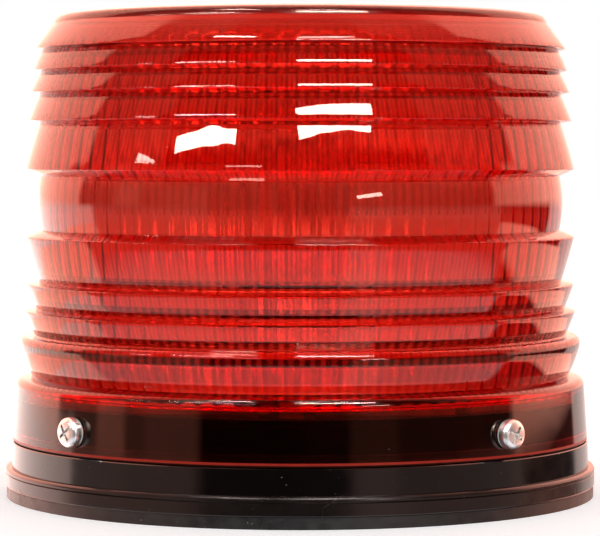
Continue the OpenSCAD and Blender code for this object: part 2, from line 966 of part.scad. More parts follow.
// A fine wire that stands beside the helix and turns in over its top
module trigger_wire() {
    out = helix_r + tube_r + wire_r + gap;
    bend = 1.5;
    color(STEEL)
        rotate([0, 0, 180]) {
            translate([out, 0, plug_top])
                cylinder(h = helix_high - plug_top - 1, r = wire_r);
            translate([out - bend, 0, helix_high - 1])
                rotate([90, 0, 0])
                    rotate_extrude(angle = 90)
                        translate([bend, 0])
                            circle(r = wire_r, $fn = 24);
        }
}

module glass_dome() {
    centre = [0, dome_z - dome_r];
    color(GLASS)
        rotate_extrude()
            polygon(concat(
                [[dome_r - dome_wall, plug_step + gap], [dome_r, plug_step + gap]],
                arc(centre, dome_r, 0, 90, 12),
                arc(centre, dome_r - dome_wall, 90, 0, 12)
            ));
}

base_housing();
mounting_gasket();
mount_inserts();
cable_grommet();
vent_plug();
lens();
lens_gasket();
screw_inserts();
lens_screw(0);  // lens_screw_1
lens_screw(1);  // lens_screw_2
lens_screw(2);  // lens_screw_3
lens_screw(3);  // lens_screw_4
screw_washer(0);  // screw_washer_1
screw_washer(1);  // screw_washer_2
screw_washer(2);  // screw_washer_3
screw_washer(3);  // screw_washer_4
circuit_board();
board_screws();
transformer_core();
transformer_bobbin();
transformer_winding();
storage_capacitor(0);  // storage_capacitor_1
storage_capacitor(1);  // storage_capacitor_2
heat_sink();
power_transistor();
transistor_screw();
trigger_coil();
trigger_capacitor();
trigger_thyristor();
timer_chip();
resistors();
diodes();
film_capacitors();
terminal_block();
terminal_screws();
fuse();
fuse_clips();
plate_standoffs();
reflector_plate();
plate_screws();
tube_socket();
socket_contacts();
socket_screws();
socket_leads();
tube_plug();
plug_pins();
flash_tube();
tube_end_caps();
trigger_wire();
glass_dome();
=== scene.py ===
"""Strobe beacon: the looks of every piece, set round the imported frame. +Z is up and the front is towards -Y.

Lengths are in metres. Those written in millimetres are multiplied by MM.
"""

from math import atan2, cos, degrees, hypot, pi, radians, sin, tan

import bpy
from mathutils import Matrix, Quaternion, Vector


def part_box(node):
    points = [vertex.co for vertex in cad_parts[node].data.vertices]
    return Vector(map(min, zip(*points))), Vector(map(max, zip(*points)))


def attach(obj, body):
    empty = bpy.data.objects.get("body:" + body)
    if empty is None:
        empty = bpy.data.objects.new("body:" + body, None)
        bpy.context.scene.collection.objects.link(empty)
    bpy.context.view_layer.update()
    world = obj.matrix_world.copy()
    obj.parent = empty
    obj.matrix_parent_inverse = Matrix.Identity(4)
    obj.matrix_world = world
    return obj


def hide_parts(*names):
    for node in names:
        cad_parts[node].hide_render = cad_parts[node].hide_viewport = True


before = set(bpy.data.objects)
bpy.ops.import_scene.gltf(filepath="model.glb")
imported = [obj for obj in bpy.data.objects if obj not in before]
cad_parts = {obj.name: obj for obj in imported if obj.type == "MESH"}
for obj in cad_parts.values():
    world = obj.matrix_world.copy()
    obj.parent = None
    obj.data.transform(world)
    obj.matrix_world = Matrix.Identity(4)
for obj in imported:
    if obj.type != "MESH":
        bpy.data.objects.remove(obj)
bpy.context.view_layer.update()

MM = 0.001


# Objects, meshes and directions

def put(name, data):
    """Puts a new object in the scene."""
    item = bpy.data.objects.new(name, data)
    bpy.context.scene.collection.objects.link(item)
    return item


def new_mesh(name, points, edges=(), faces=(), **numbers):
    """A mesh from its points, with a number of each kind on every point."""
    mesh = bpy.data.meshes.new(name)
    mesh.from_pydata(points, edges, faces)
    for label, values in numbers.items():
        mesh.attributes.new(label, "FLOAT", "POINT").data.foreach_set("value", values)
    return mesh


def polar(radius, degrees):
    """X and Y at a distance from the axis, its direction counted from +X."""
    angle = radians(degrees)
    return radius * cos(angle), radius * sin(angle)


def facing(azimuth, elevation=0.0):
    """A direction away from the object, its azimuth in degrees from -Y, positive towards +X."""
    round_axis, up = radians(azimuth), radians(elevation)
    return Vector((sin(round_axis) * cos(up), -cos(round_axis) * cos(up), sin(up)))


# Camera

# The photograph is 600 by 536 pixels; its horizon lies at row 150, and the focal length is in pixels
PHOTO_WIDTH, PHOTO_HEIGHT = 600, 536
HORIZON_ROW = 150
FOCAL_PIXELS = 2871
SENSOR = 36.0
CAMERA_DISTANCE = 735 * MM
CAMERA_HEIGHT = 87.75 * MM
CAMERA_AZIMUTH = 2.6


def make_camera():
    """A level eye at the photograph's height, tilted down until the object fills the frame."""
    data = bpy.data.cameras.new("camera")
    data.sensor_width = SENSOR
    data.lens = FOCAL_PIXELS / PHOTO_WIDTH * SENSOR
    data.clip_start = 0.05
    camera = put("camera", data)
    camera.location = facing(CAMERA_AZIMUTH) * CAMERA_DISTANCE
    camera.location.z = CAMERA_HEIGHT
    drop = (PHOTO_HEIGHT / 2 - HORIZON_ROW) / FOCAL_PIXELS
    aim = Vector((0, 0, CAMERA_HEIGHT - CAMERA_DISTANCE * drop))
    camera.rotation_euler = (aim - camera.location).to_track_quat("-Z", "Y").to_euler()
    bpy.context.scene.camera = camera


# Node trees

def as_label(key):
    """The name of a socket from the word that stands for it in a call."""
    return key.replace("_", " ").capitalize()


class Tree:
    """A node tree that is written one node to a line."""

    def __init__(self, tree):
        self.tree = tree

    def add(self, kind, inputs=None, **settings):
        """Adds a node; inputs maps a socket's name or number to a value or to an output to link."""
        node = self.tree.nodes.new(kind if "Node" in kind else "ShaderNode" + kind)
        for key, value in settings.items():
            setattr(node, key, value)
        for key, value in (inputs or {}).items():
            self.set(node, key, value)
        return node

    def give(self, kind, inputs=None, **settings):
        """The first output of a new node."""
        return self.add(kind, inputs, **settings).outputs[0]

    def geo(self, kind, inputs=None, **settings):
        """The first output of a new node that works on geometry."""
        return self.give("GeometryNode" + kind, inputs, **settings)

    def set(self, node, key, value):
        """Links an output to an input, or gives the input a plain value."""
        if isinstance(value, bpy.types.NodeSocket):
            self.tree.links.new(value, node.inputs[key])
        else:
            node.inputs[key].default_value = value

    def math(self, operation, *values, clamp=False):
        """The result of a Math node."""
        return self.give("Math", dict(enumerate(values)), operation=operation, use_clamp=clamp)

    def times(self, first, *others, clamp=False):
        """The product of some numbers."""
        for other in others:
            first = self.math("MULTIPLY", first, other, clamp=clamp)
        return first

    def scaled(self, value, factor, offset, clamp=False):
        """A number times a factor, plus an offset."""
        return self.math("MULTIPLY_ADD", value, factor, offset, clamp=clamp)

    def length(self, a, b):
        """The length of two sides of a right angle taken together."""
        return self.math("SQRT", self.math("ADD", self.math("POWER", a, 2.0), self.math("POWER", b, 2.0)))

    def mix(self, factor, a, b):
        """A mix of two colours."""
        a, b = (c if isinstance(c, bpy.types.NodeSocket) else (*c[:3], 1) for c in (a, b))
        return self.add("Mix", {0: factor, 6: a, 7: b}, data_type="RGBA").outputs[2]

    def blend(self, factor, a, b):
        """A mix of two numbers."""
        return self.give("Mix", {0: factor, 2: a, 3: b})

    def noise(self, place, scale, detail):
        """Soft mottling."""
        return self.give("TexNoise", {"Vector": place, "Scale": scale, "Detail": detail})

    def parts(self, vector):
        """The X, Y and Z of a vector."""
        return self.add("SeparateXYZ", {0: vector}).outputs

    def own_place(self):
        """Places on the object, in its own frame."""
        return self.add("TexCoord").outputs["Object"]

    def effect(self, name, place, **values):
        """The outputs of one of the shared effects, placed with its own values."""
        inputs = {"Place": place, **{as_label(key): value for key, value in values.items()}}
        return self.add("Group", inputs, node_tree=bpy.data.node_groups[name]).outputs

    def within(self, value, low, high, soft):
        """A mask that is 1 between two values, with soft ends."""
        away = self.math("ABSOLUTE", self.math("SUBTRACT", value, (low + high) / 2))
        return self.scaled(away, -1 / soft, (high - low) / 2 / soft + 0.5, clamp=True)


def new_group(build, kind, inputs, output="Float"):
    """A node group filled by a function and named after it. An input is given by its type or its first value."""
    group = bpy.data.node_groups.new(build.__name__, kind)

    def socket(label, side, word):
        return group.interface.new_socket(name=label, in_out=side, socket_type="NodeSocket" + word)

    for label, value in inputs.items():
        if isinstance(value, str):
            socket(label, "INPUT", value)
        else:
            socket(label, "INPUT", {int: "Int", float: "Float"}[type(value)]).default_value = value
    tree = Tree(group)
    results = build(tree, tree.add("NodeGroupInput").outputs)
    for label in results:
        socket(label, "OUTPUT", output)
    out = tree.add("NodeGroupOutput")
    for label, result in results.items():
        tree.set(out, label, result)
    return group


# Light

# Directions are azimuths in degrees from -Y, positive towards +X
FLOOR_SIZE = 6.8
FLOOR_SIDES = 64
FLOOR_COLOUR = (0.8, 0.8, 0.8)
FLOOR_GLOW = 0.36
# Distance from the middle, forwards or back, beyond which the floor seen through the lens takes its painted shade
FLOOR_SHOWS = 90 * MM
# Each lamp: azimuth range, elevation range, brightness, tilt of its long side
LAMPS = {
    "softbox_left": ((-54, -26), (29.6, 32.4), 42.0, 10),
    "softbox_right": ((1, 36), (34, 44), 42.0, 0),
    "overhead_left": ((-54, -26), (58, 63), 42.0, 0),
    "overhead_right": ((1, 36), (58, 63), 24.0, 0),
    "spill_upper": ((-71, -61), (23, 24.4), 16.0, 0),
    "spill_lower": ((-71, -61), (20.9, 22.3), 16.0, 0),
    "spill_middle": ((-28, -13), (19.5, 22), 8.0, 0),
    "spill_right": ((26, 37), (6.5, 9.5), 20.0, 14),
    # These are seen through the lens only, and make the bright lines in its flutes
    "glow_left": ((-49, -26), (12, 30), 14.0, 0),
    "glow_right": ((-1, 30), (12, 34), 10.0, 0),
}
LAMP_DISTANCE = 1.6
LAMP_AIM = Vector((0, 0, 80 * MM))
# What the object mirrors at eye level: azimuth where each brightness starts
STUDIO_BANDS = [
    (-180, 2.8), (-108, 0.35), (-84, 1.0), (-70, 0.35), (-60, 0.5), (-37, 0.02), (5, 0.04), (22, 0.2),
    (41, 0.1), (95, 2.4), (140, 2.0),
]
# The same just under the horizon, where the table shows, and high up
TABLE_BANDS = [
    (-180, 2.8), (-98, 0.55), (-37, 0.04), (23, 0.7), (41, 0.5), (100, 0.05), (142, 1.2),
]
UPPER_BANDS = [(-180, 2.8), (-100, 0.4), (-60, 0.02), (60, 0.4), (106, 2.6)]
# Between these two heights the right side of the table is bright, as the lens mirrors it. Heights are those of a
# direction, from -1 straight down to 1 straight up
LOW_HEIGHTS = (-0.37, -0.18)
LOW_BANDS = [(-180, 2.8), (-98, 0.55), (-37, 0.04), (23, 0.5), (41, 0.4), (100, 2.4)]
WARM = (1.0, 0.77, 0.71)
# A pale gleam off the table in front, which the faces of the lower rings mirror
GLEAM_HEIGHTS = (-0.85, -0.42)
GLEAM_BANDS = [(-180, 0.0), (-98, 0.7), (-37, 0.95), (41, 0.8), (100, 0.0)]
GLEAM = (0.8, 1.0, 1.15)
# The lens is mirrored in itself, which makes what its rings mirror redder than what the base mirrors
RUDDY = (1.35, 0.6, 0.46)
# What reaches matt surfaces, from all round
ALL_ROUND = (0.9, 0.9, 0.9)
# What is seen through the lens: white behind, and the dark side of the studio in front
THROUGH_BANDS = [(-180, 1.0), (-90, 0.6), (-37, 0.04), (24, 0.6), (90, 1.0)]
BACKDROP_HIGH = 0.68
BACKDROP_LOW = 0.5
# Painted shade of the floor seen through the lens: its brightness near the object and far from it
FLOOR_SHADE_NEAR = 0.5
FLOOR_SHADE_FAR = 0.86


def band_ramp(tree, azimuth, bands, tint=(1, 1, 1)):
    """A stepped ramp round the horizon, with soft edges between its bands."""
    top = 4.0
    node = tree.add("ValToRGB", {0: azimuth})
    elements = node.color_ramp.elements
    soft = 1.5 / 360
    stops = [(0.0, bands[0][1])]
    for (start, level), (_, before) in zip(bands[1:], bands):
        at = start / 360 + 0.5
        stops += [(at - soft, before), (at + soft, level)]
    while len(elements) < len(stops):
        elements.new(1.0)
    for element, (at, level) in zip(elements, stops):
        element.position = at
        element.color = (*(level * c / top for c in tint), 1)
    return tree.give("VectorMath", {0: node.outputs[0], 1: (top, top, top)}, operation="MULTIPLY")


def azimuth_of(tree, xyz):
    """Direction round the vertical, from 0 to 1, with the front in the middle."""
    turn = tree.math("ARCTAN2", xyz["X"], tree.times(xyz["Y"], -1.0))
    return tree.scaled(turn, 1 / (2 * pi), 0.5)


def make_world():
    """White behind the object, and a dark studio with pale bands in what the object mirrors."""
    world = bpy.data.worlds.new("studio")
    world.use_nodes = True
    bpy.context.scene.world = world
    tree = Tree(world.node_tree)
    path = tree.add("LightPath").outputs
    xyz = tree.parts(tree.add("TexCoord").outputs["Generated"])
    height = xyz["Z"]
    azimuth = azimuth_of(tree, xyz)

    def bands(*settings):
        return band_ramp(tree, azimuth, *settings)

    lower = tree.within(height, *LOW_HEIGHTS, 0.03)
    table = tree.mix(lower, bands(TABLE_BANDS, WARM), bands(LOW_BANDS, RUDDY))
    near = tree.within(height, *GLEAM_HEIGHTS, 0.06)
    table = tree.give("VectorMath", {0: bands(GLEAM_BANDS, GLEAM), 1: near, 2: table}, operation="MULTIPLY_ADD")
    above = tree.scaled(height, 20.0, 0.8, clamp=True)
    horizon = tree.mix(above, table, bands(STUDIO_BANDS, RUDDY))
    high = tree.scaled(height, 6.0, -1.0, clamp=True)
    mirrored = tree.mix(high, horizon, bands(UPPER_BANDS, RUDDY))
    lit = tree.mix(path["Is Glossy Ray"], ALL_ROUND, mirrored)
    front = bands(THROUGH_BANDS)
    level = tree.scaled(tree.math("ABSOLUTE", height), -5.0, 1.2, clamp=True)
    raised = tree.scaled(height, 10.0, -0.3, clamp=True)
    back = tree.blend(raised, BACKDROP_LOW, BACKDROP_HIGH)
    behind = tree.math("GREATER_THAN", front, 0.99)
    through = tree.blend(behind, tree.blend(level, back, front), back)
    passed = tree.mix(path["Is Transmission Ray"], lit, through)
    tree.set(world.node_tree.nodes["Background"], "Color", tree.mix(path["Is Camera Ray"], passed, (1, 1, 1)))


def make_lamp(name, azimuths, elevations, brightness, tilt):
    """A rectangular lamp that covers a range of directions and faces the object, its right end raised by a tilt."""
    elevation = sum(elevations) / 2
    wide, high = (2 * LAMP_DISTANCE * tan(radians(b - a) / 2) for a, b in (azimuths, elevations))
    data = bpy.data.lights.new(name, "AREA")
    data.shape = "RECTANGLE"
    data.size, data.size_y = wide * cos(radians(elevation)), high
    data.energy = brightness * pi * data.size * data.size_y
    out = facing(sum(azimuths) / 2, elevation)
    light = put(name, data)
    light.location = LAMP_AIM + out * LAMP_DISTANCE
    roll = Quaternion((0, 0, 1), radians(tilt))
    light.rotation_euler = (out.to_track_quat("Z", "Y") @ roll).to_euler()
    light.visible_diffuse = False
    glow = name.startswith("glow")
    light.visible_transmission, light.visible_glossy = glow, not glow


def make_floor():
    """A pale floor that is white to the camera and keeps the object's shadow, left open under the gasket."""
    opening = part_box("mounting_gasket")[1].x - 0.7 * MM
    near, far = [], []
    for k in range(FLOOR_SIDES):
        x, y = polar(1, 360 * k / FLOOR_SIDES)
        reach = FLOOR_SIZE / 2 / max(abs(x), abs(y))
        near.append((opening * x, opening * y, 0))
        far.append((reach * x, reach * y, 0))
    pairs = [(k, (k + 1) % FLOOR_SIDES) for k in range(FLOOR_SIDES)]
    mesh = new_mesh("floor", near + far, faces=[(k, FLOOR_SIDES + k, FLOOR_SIDES + n, n) for k, n in pairs])
    floor = put("floor", mesh)
    finish, tree, shader = material("floor", roughness=0.8)
    path = tree.add("LightPath").outputs
    xyz = tree.parts(tree.own_place())
    # Seen through the lens, the floor has painted shade: dark towards the front and darker near the object
    away = tree.math("ABSOLUTE", xyz["Y"])
    distant = tree.scaled(away, 1.2, -0.7, clamp=True)
    beyond = tree.times(path["Is Transmission Ray"], tree.math("GREATER_THAN", away, FLOOR_SHOWS))
    front = band_ramp(tree, azimuth_of(tree, xyz), THROUGH_BANDS)
    painted_floor_shade = tree.times(front, tree.blend(distant, FLOOR_SHADE_NEAR, FLOOR_SHADE_FAR))
    tree.set(shader, "Base Color", tree.mix(beyond, FLOOR_COLOUR, painted_floor_shade))
    tree.set(shader, "Emission Color", (1, 1, 1, 1))
    tree.set(shader, "Emission Strength", tree.times(path["Is Camera Ray"], FLOOR_GLOW))
    mesh.materials.append(finish)
    floor.visible_glossy = False


# Shared effects

def grain(tree, given):
    """Mottling in two sizes, and a fine height for bump."""
    coarse = tree.noise(given["Place"], given["Scale"], 3.0)
    fine = tree.noise(given["Place"], tree.times(given["Scale"], 7.0), 2.0)
    value = tree.math("ADD", tree.times(coarse, 0.65), tree.times(fine, 0.35))
    return {"Value": tree.scaled(value, 2.4, -0.7, clamp=True), "Height": fine}


def dust(tree, given):
    """Small specks, some of their cells left empty."""
    cells = tree.add("TexVoronoi", {"Vector": given["Place"], "Scale": given["Scale"]}).outputs
    chance = tree.add("SeparateColor", {0: cells["Color"]}).outputs
    near = tree.math("SUBTRACT", tree.times(given["Size"], chance[1]), cells["Distance"])
    kept = tree.math("LESS_THAN", chance[0], given["Cover"])
    return {"Mask": tree.times(tree.times(near, 30.0, clamp=True), kept)}


def scratches(tree, given):
    """Thin straight marks that come and go."""
    place = {"Vector": given["Place"], "Scale": given["Scale"]}
    cells = tree.add("TexVoronoi", place, feature="DISTANCE_TO_EDGE").outputs
    line = tree.math("SUBTRACT", 1.0, tree.math("DIVIDE", cells["Distance"], given["Width"]), clamp=True)
    kept = tree.math("SUBTRACT", given["Cover"], tree.noise(given["Place"], 170.0, 1.0))
    return {"Mask": tree.times(line, tree.times(kept, 8.0, clamp=True))}


def tool_marks(tree, given):
    """Fine turned grooves: rings round the Z axis on a face, and lines along Z on a side."""
    xyz = tree.parts(given["Place"])
    step = tree.math("DIVIDE", 2 * pi, given["Pitch"])
    ways = {"Face": tree.length(xyz["X"], xyz["Y"]), "Side": xyz["Z"]}
    waves = {label: tree.math("SINE", tree.times(value, step)) for label, value in ways.items()}
    return {label: tree.scaled(wave, 0.5, 0.5) for label, wave in waves.items()}


def make_effects():
    """Builds each shared effect once."""
    for build, numbers in (
        (grain, {"Scale": 400.0}),
        (dust, {"Scale": 900.0, "Cover": 0.3, "Size": 0.12}),
        (scratches, {"Scale": 60.0, "Width": 0.012, "Cover": 0.4}),
        (tool_marks, {"Pitch": 0.2 * MM}),
    ):
        new_group(build, "ShaderNodeTree", {"Place": "Vector", **numbers})


# Materials

DUST = (0.42, 0.38, 0.34)


def material(name, colour=(0.8, 0.8, 0.8), **sockets):
    """A new material, its tree and its Principled shader, with plain values on the shader's own sockets."""
    made = bpy.data.materials.new(name)
    made.use_nodes = True
    shader = made.node_tree.nodes["Principled BSDF"]
    shader.inputs["Base Color"].default_value = (*colour, 1)
    for key, value in sockets.items():
        shader.inputs[key.replace("_", " ").title().replace("Ior", "IOR")].default_value = value
    return made, Tree(made.node_tree), shader


class Finish(Tree):
    """A material with mottled colour and roughness, a fine surface, scratches and some dust."""

    def __init__(self, name, colour, rough, scale=500.0, shade=0.15, spread=0.12, depth=0.02, dust=0.25, **sockets):
        self.made, plain, self.shader = material(name, colour, **sockets)
        super().__init__(plain.tree)
        self.shade, self.spread, self.depth = shade, spread, depth
        self.place = self.own_place()
        self.xyz = self.parts(self.place)
        self.dust = self.effect("dust", self.place, cover=dust)["Mask"]
        self.marks = self.effect("scratches", self.place)["Mask"]
        grain = self.effect("grain", self.place, scale=scale)
        self.value, self.height = grain["Value"], grain["Height"]
        self.colour(self.mottle(colour))
        self.roughness(rough)
        self.bump()

    def mottle(self, colour):
        """A colour that varies with the grain."""
        dark = tuple(c * (1 - self.shade) for c in colour)
        light = tuple(min(1.0, c * (1 + self.shade)) for c in colour)
        return self.mix(self.value, dark, light)

    def colour(self, body):
        """Sets the colour, with dust over it."""
        self.body = body
        self.set(self.shader, "Base Color", self.mix(self.dust, body, DUST))

    def over(self, mask, colour):
        """Lays a second colour on part of the surface."""
        self.colour(self.mix(mask, self.body, self.mottle(colour)))

    def bare(self, mask, colour):
        """Leaves part of the surface as bare metal."""
        self.over(mask, colour)
        self.set(self.shader, "Metallic", mask)

    def roughness(self, base):
        """Sets the roughness, a number or an output, raised by the grain, the scratches and the dust."""
        marked = self.scaled(self.marks, 0.25, self.scaled(self.value, self.spread, base))
        self.set(self.shader, "Roughness", self.scaled(self.dust, 0.5, marked, clamp=True))

    def bump(self):
        """Sets the fine relief, whose depth is in millimetres."""
        relief = {"Height": self.height, "Distance": self.depth * MM}
        self.set(self.shader, "Normal", self.give("Bump", relief))

    def add_height(self, height, depth):
        """Adds a second relief to the grain."""
        self.height = self.scaled(height, depth / self.depth, self.height)
        self.bump()


# Painted shade: dark bands on the foot side of each ring of the lens, and on the skirt over the black base: lowest
# and highest height in millimetres, depth, and the share of it that comes and goes with the flutes
FOOT_SHADES = [
    (113.8, 119.6, 0.35, 0.3), (110.1, 112.8, 0.82, 0.35), (105.3, 107.4, 0.84, 0.35), (99.6, 101.8, 0.86, 0.35),
    (93.0, 94.6, 0.5, 0.35), (73.6, 80.6, 0.5, 0.4), (66.4, 67.9, 0.5, 0.35), (54.8, 57.2, 0.82, 0.35),
    (48.1, 50.7, 0.9, 0.3), (41.2, 43.2, 0.94, 0.35), (37.2, 39.4, 1.0, 0.1), (33.2, 36.8, 0.6, 0.4),
    (31.2, 33.1, 0.55, 0.35), (29.5, 30.8, 0.95, 0.5), (17.0, 25.3, 1.0, 0.0), (15.3, 17.0, 0.9, 0.0),
]
# Painted shade in dark lines along the flutes, on the faces between the rings: lowest and highest height, depth
LINE_SHADES = [
    (113.4, 119.6, 0.55), (95.0, 113.0, 0.85), (83.0, 94.6, 0.65), (72.5, 82.3, 0.75), (29.0, 66.0, 0.55),
]
# Middle of the wall: its radius above a height, and how fast it grows below
WALL_RADIUS, WALL_HEIGHT, WALL_SLOPE = 64.3, 68.0, 0.069
# Roughness of the moulding's inner side, which blurs what lies behind it
INNER_HAZE = 0.14


def lens_plastic():
    """See-through red moulding, coloured through its thickness, with painted shade for its ring bands and flute
    lines.
    """
    made, tree, shader = material("lens_red", ior=1.55, transmission_weight=1.0, specular_tint=(1, 0.7, 0.58, 1))
    place = tree.own_place()
    xyz = tree.parts(place)
    height = tree.times(xyz["Z"], 1 / MM)
    radius = tree.times(tree.length(xyz["X"], xyz["Y"]), 1 / MM)
    below = tree.math("MAXIMUM", tree.math("SUBTRACT", WALL_HEIGHT, height), 0.0)
    wall = tree.scaled(below, WALL_SLOPE, WALL_RADIUS)
    outer = tree.times(tree.math("SUBTRACT", radius, wall), 2.5, clamp=True)
    angle = tree.math("ARCTAN2", xyz["Y"], xyz["X"])
    uneven = tree.noise(place, 260.0, 2.0)

    def lines(per_flute):
        return tree.math("ADD", tree.math("COSINE", tree.times(angle, per_flute * FLUTES)), uneven)

    wave = lines(2.0)
    dash = tree.scaled(wave, 0.9, 0.1, clamp=True)
    strong = tree.math("SUBTRACT", wave, 0.75, clamp=True)
    faint = tree.math("SUBTRACT", lines(4.0), 0.8, clamp=True)
    thin = tree.math("MAXIMUM", strong, tree.times(faint, 0.75))
    shades = [(*band, tree.scaled(dash, share, 1 - share), 0.5) for *band, share in FOOT_SHADES]
    shades += [(*band, thin, 0.3) for band in LINE_SHADES]
    shade = 0.0
    for low, high, depth, pattern, soft in shades:
        band = tree.times(tree.within(height, low, high, soft), depth, pattern)
        shade = tree.math("MAXIMUM", shade, band)
    entering = tree.math("SUBTRACT", 1.0, tree.add("NewGeometry").outputs["Backfacing"])
    shade = tree.times(shade, outer, entering)
    marks = tree.effect("scratches", place, scale=45.0, width=0.006, cover=0.42)["Mask"]
    dust = tree.effect("dust", place, scale=420.0, cover=0.12, size=0.1)["Mask"]
    # The painted shade darkens the base colour where a ray enters the lens from outside
    tree.set(shader, "Base Color", tree.mix(shade, (1, 0.9, 0.88), (0.012, 0.0, 0.0)))
    dusty = tree.scaled(dust, 0.35, tree.scaled(outer, -INNER_HAZE, INNER_HAZE))
    tree.set(shader, "Roughness", tree.scaled(marks, 0.16, dusty, clamp=True))
    swell = tree.noise(place, 110.0, 1.0)
    tree.set(shader, "Normal", tree.give("Bump", {"Height": swell, "Distance": 0.03 * MM}))
    absorb = tree.give("VolumeAbsorption", {"Color": (0.992, 0.18, 0.02, 1), "Density": 560.0})
    tree.set(made.node_tree.nodes["Material Output"], "Volume", absorb)
    return made


def clear_glass():
    """Clear glass with a trace of haze and dust."""
    made, tree, shader = material("clear_glass", (1, 1, 1), ior=1.47, transmission_weight=1.0)
    place = tree.own_place()
    dust = tree.effect("dust", place, scale=700.0, cover=0.1)["Mask"]
    haze = tree.effect("grain", place, scale=150.0)["Value"]
    tree.set(shader, "Roughness", tree.scaled(dust, 0.3, tree.times(haze, 0.03)))
    tree.set(shader, "Base Color", tree.mix(haze, (1, 1, 1), (0.96, 0.96, 0.96)))
    return made


def base_plastic():
    """Black glossy moulding with fine level lines, specks and scratches, duller on its flange."""
    look = Finish(
        "base_plastic", (0.0024, 0.0018, 0.0018), 0.10, scale=260.0, spread=0.07, depth=0.004, dust=0.34,
        specular_tint=(1, 0.86, 0.82, 1),
    )
    flange = look.math("LESS_THAN", look.xyz["Z"], 7.7 * MM)
    look.over(flange, (0.008, 0.005, 0.0045))
    look.roughness(look.scaled(flange, 0.1, 0.10))
    look.add_height(look.effect("tool_marks", look.place, pitch=0.45 * MM)["Side"], 0.0012)
    return look.made


def rubber():
    """Matt black rubber with a chalky bloom."""
    look = Finish("rubber", (0.009, 0.006, 0.0055), 0.34, scale=300.0, shade=0.3, spread=0.2, dust=0.3)
    look.over(look.times(look.value, 0.3), (0.03, 0.025, 0.022))
    return look.made


def screw_steel(name, direction=None, centre=(0, 0, 0)):
    """Bright plated steel with turned rings round one screw's own axis, and painted shade in its recess."""
    look = Finish(name, (0.9, 0.89, 0.87), 0.26, scale=900.0, shade=0.05, spread=0.14, depth=0.004, dust=0.1,
                  metallic=1.0)
    turn = (0, 0, 0) if direction is None else (0, radians(90), radians(direction))
    spot = {"Vector": look.place, "Location": centre, "Rotation": turn}
    local = look.give("Mapping", spot, vector_type="TEXTURE")
    look.add_height(look.effect("tool_marks", local, pitch=0.16 * MM)["Face"], 0.003)
    if direction is not None:
        # Painted shade darkens the recess of the screw's head
        recess_shade = look.within(look.parts(local)["Z"], 0.9 * MM, 2.1 * MM, 0.4 * MM)
        look.over(look.times(recess_shade, look.value, 0.5), (0.3, 0.27, 0.24))
    return look.made


def turned_metal(name, colour, rough, pitch):
    """Machined metal with fine grooves along its height, and dull patches."""
    look = Finish(name, colour, rough, scale=450.0, shade=0.12, spread=0.22, depth=0.006, dust=0.12, metallic=1.0)
    look.add_height(look.effect("tool_marks", look.place, pitch=pitch * MM)["Side"], 0.006)
    patch = look.scaled(look.noise(look.place, 180.0, 3.0), 3.0, -1.6, clamp=True)
    look.over(patch, tuple(c * 0.62 for c in colour))
    return look.made


def board_green():
    """Green lacquer over copper tracks, with bare board at the edge."""
    look = Finish("board", (0.012, 0.11, 0.045), 0.32, scale=350.0, depth=0.01, dust=0.35)
    tracks = look.give("TexBrick", {
        "Vector": look.place, "Scale": 95.0, "Mortar Size": 0.11, "Brick Width": 0.62, "Row Height": 0.24,
        "Color1": (1, 1, 1, 1), "Color2": (0.6, 0.6, 0.6, 1), "Mortar": (0, 0, 0, 1),
    })
    copper = look.times(tracks, 0.8)
    look.over(copper, (0.03, 0.21, 0.085))
    look.add_height(copper, 0.03)
    edge = look.math("GREATER_THAN", look.length(look.xyz["X"], look.xyz["Y"]), 61.4 * MM)
    look.over(edge, (0.42, 0.4, 0.24))
    return look.made


def capacitor_sleeve():
    """Dark blue sleeve with one plain pale stripe, and a bare metal end."""
    look = Finish("capacitor_sleeve", (0.018, 0.03, 0.11), 0.28, scale=300.0, depth=0.006, dust=0.2)
    xyz = look.xyz
    stripe = look.within(xyz["Z"], 21.6 * MM, 24.4 * MM, 0.2 * MM)
    front = look.math("LESS_THAN", xyz["Y"], -27 * MM)
    look.over(look.times(stripe, front), (0.55, 0.58, 0.62))
    aside = look.math("ADD", xyz["Y"], 27 * MM)
    raised = look.math("SUBTRACT", xyz["Z"], 24.7 * MM)
    inner = look.math("LESS_THAN", look.length(aside, raised), 7.4 * MM)
    outermost = look.math("GREATER_THAN", look.math("ABSOLUTE", xyz["X"]), 38.85 * MM)
    look.bare(look.times(outermost, inner), (0.72, 0.73, 0.75))
    return look.made


def extruded_aluminium():
    """Bare extruded aluminium with upright draw lines."""
    look = Finish("aluminium", (0.68, 0.69, 0.7), 0.3, scale=400.0, shade=0.08, depth=0.006, dust=0.15, metallic=1.0)
    stretched = look.give("Mapping", {"Vector": look.place, "Scale": (9.0, 9.0, 0.3)})
    look.add_height(look.noise(stretched, 320.0, 2.0), 0.02)
    return look.made


def transistor_black():
    """Matt epoxy body with a bare tab and legs."""
    look = Finish("transistor", (0.025, 0.025, 0.027), 0.5, scale=700.0, dust=0.2)
    tab = look.math("GREATER_THAN", look.xyz["Z"], 26.6 * MM)
    back = look.math("LESS_THAN", look.xyz["X"], -38.7 * MM)
    legs = look.math("LESS_THAN", look.xyz["Z"], 18.05 * MM)
    look.bare(look.math("MAXIMUM", tab, look.math("MAXIMUM", back, legs)), (0.7, 0.69, 0.66))
    return look.made


def leaded(name, body, rough, top, scale=600.0):
    """A coated part on the board, whose leads below a height are bare tinned wire."""
    look = Finish(name, body, rough, scale=scale, depth=0.015, dust=0.2)
    look.bare(look.math("LESS_THAN", look.xyz["Z"], top * MM), (0.68, 0.67, 0.64))
    return look.made


